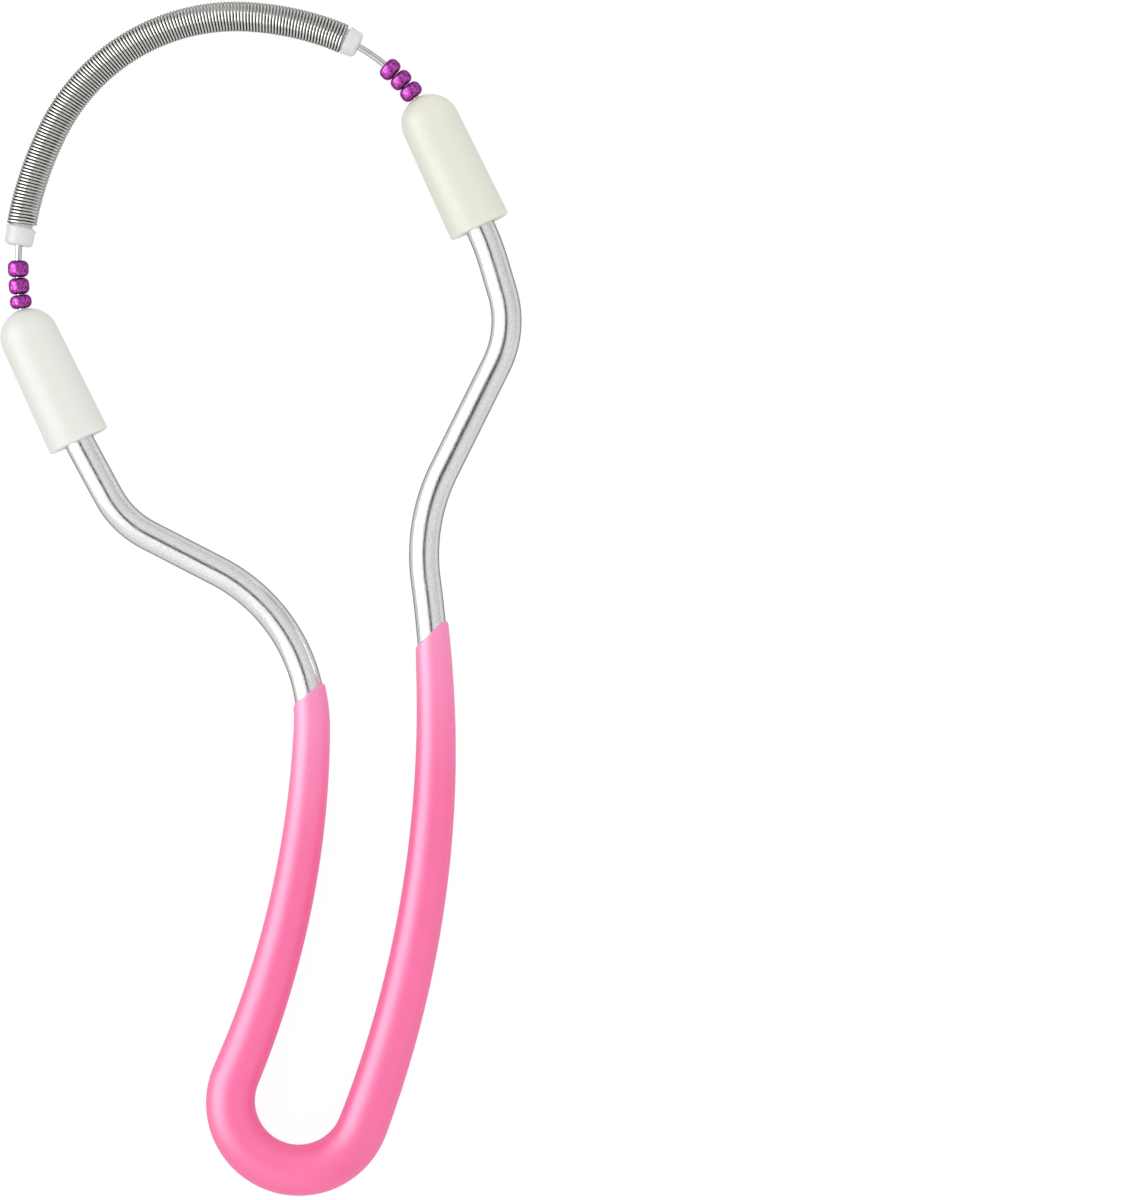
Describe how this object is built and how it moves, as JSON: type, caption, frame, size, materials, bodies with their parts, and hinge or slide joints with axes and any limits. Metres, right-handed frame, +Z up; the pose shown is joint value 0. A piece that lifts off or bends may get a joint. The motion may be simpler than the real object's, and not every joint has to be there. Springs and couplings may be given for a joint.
{
  "type": "facial hair removal spring",
  "caption": "Hand tool for facial hair: a coil spring bowed between the arms of a bent steel rod with a dipped vinyl loop handle, plastic sleeves, end caps and beads.",
  "frame": {"origin": "below the middle of the whole tool, on the surface that it lies on", "axes": "+X to the right, +Y from the handle's loop towards the bowed spring, +Z up from the surface, across the flat tool"},
  "size_m": [0.0868, 0.199, 0.0105],
  "materials": {
    "rod_steel": "bright drawn steel",
    "spring_steel": "bright spring wire",
    "wire_steel": "bright drawn steel",
    "pink_vinyl": "soft gloss dipped vinyl",
    "white_plastic": "satin",
    "clear_nylon": "slightly translucent satin",
    "purple_glass": "glossy, lined with purple"
  },
  "bodies": {
    "tool": {"frame_rod": "rod_steel", "handle_grip": "pink_vinyl", "left_sleeve": "white_plastic", "right_sleeve": "white_plastic", "core_wire": "wire_steel", "coil_spring": "spring_steel"},
    "left_end_cap_body": {"left_end_cap": "clear_nylon"},
    "right_end_cap_body": {"right_end_cap": "clear_nylon"},
    "left_bead_1_body": {"left_bead_1": "purple_glass"},
    "left_bead_2_body": {"left_bead_2": "purple_glass"},
    "left_bead_3_body": {"left_bead_3": "purple_glass"},
    "right_bead_1_body": {"right_bead_1": "purple_glass"},
    "right_bead_2_body": {"right_bead_2": "purple_glass"},
    "right_bead_3_body": {"right_bead_3": "purple_glass"}
  },
  "joints": [
    {"name": "left_end_cap_spin", "type": "hinge", "parent": "tool", "child": "left_end_cap_body", "pos_m": [-0.03998, 0.06179, 0.00525], "axis": [0.1519, 0.9884, 0], "continuous": true},
    {"name": "right_end_cap_spin", "type": "hinge", "parent": "tool", "child": "right_end_cap_body", "pos_m": [0.0141, 0.09312, 0.00525], "axis": [0.9047, -0.4261, 0], "continuous": true},
    {"name": "left_bead_1_spin", "type": "hinge", "parent": "tool", "child": "left_bead_1_body", "pos_m": [-0.04046, 0.05497, 0.00525], "axis": [-0.0111, 0.9999, 0], "continuous": true},
    {"name": "left_bead_2_spin", "type": "hinge", "parent": "tool", "child": "left_bead_2_body", "pos_m": [-0.04033, 0.0521, 0.00525], "axis": [-0.0797, 0.9968, 0], "continuous": true},
    {"name": "left_bead_3_spin", "type": "hinge", "parent": "tool", "child": "left_bead_3_body", "pos_m": [-0.04004, 0.04949, 0.00525], "axis": [-0.142, 0.9899, 0], "continuous": true},
    {"name": "right_bead_1_spin", "type": "hinge", "parent": "tool", "child": "right_bead_1_body", "pos_m": [0.02152, 0.08818, 0.00525], "axis": [0.7432, -0.6691, 0], "continuous": true},
    {"name": "right_bead_2_spin", "type": "hinge", "parent": "tool", "child": "right_bead_2_body", "pos_m": [0.02333, 0.08642, 0.00525], "axis": [0.6854, -0.7281, 0], "continuous": true},
    {"name": "right_bead_3_spin", "type": "hinge", "parent": "tool", "child": "right_bead_3_body", "pos_m": [0.02498, 0.08451, 0.00525], "axis": [0.623, -0.7822, 0], "continuous": true}
  ],
  "couplings": [
    {"joint": "right_end_cap_spin", "follows": "left_end_cap_spin", "ratio": 1}
  ]
}
